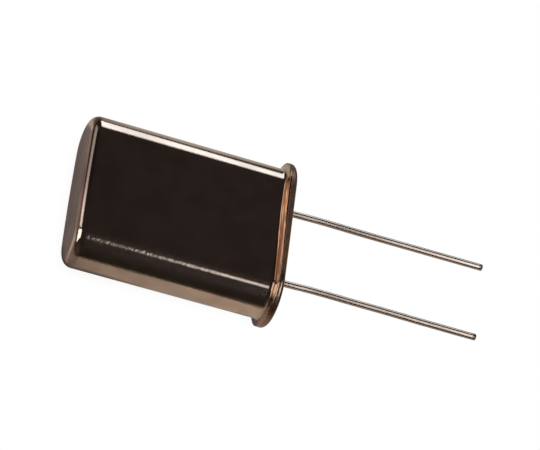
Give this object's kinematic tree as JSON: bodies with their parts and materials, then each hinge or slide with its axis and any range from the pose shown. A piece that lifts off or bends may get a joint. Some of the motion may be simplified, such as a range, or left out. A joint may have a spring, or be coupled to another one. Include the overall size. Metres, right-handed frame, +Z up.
{
  "type": "crystal oscillator",
  "caption": "Quartz crystal unit in a flat oblong metal can with rounded narrow sides, a welded base flange, and long straight wire leads through glass seals.",
  "frame": {"origin": "on the seating plane, midway between the two leads", "axes": "+X along the leads towards their tips, +Y from lead to lead across the can's width, +Z up out of the broad face on top; the unit lies on its other broad face"},
  "size_m": [0.027, 0.011, 0.0046],
  "materials": {
    "can_metal": "bright drawn nickel silver, slightly warm",
    "base_metal": "stamped and plated, satin, slightly warm",
    "seal_glass": "dark glossy sealing glass",
    "lead_metal": "bright drawn wire, tinned",
    "spring_metal": "rolled spring strip, satin",
    "quartz": "lapped quartz, slightly frosted",
    "silver_film": "evaporated silver, satin",
    "silver_glue": "silver-filled adhesive, matt"
  },
  "bodies": {
    "root": {"can": "can_metal", "base": "base_metal", "glass_bead_left": "seal_glass", "glass_bead_right": "seal_glass", "lead_left": "lead_metal", "lead_right": "lead_metal", "clip_left": "spring_metal", "clip_right": "spring_metal", "quartz_blank": "quartz", "electrode_front": "silver_film", "electrode_back": "silver_film", "bond_left": "silver_glue", "bond_right": "silver_glue"}
  },
  "joints": []
}
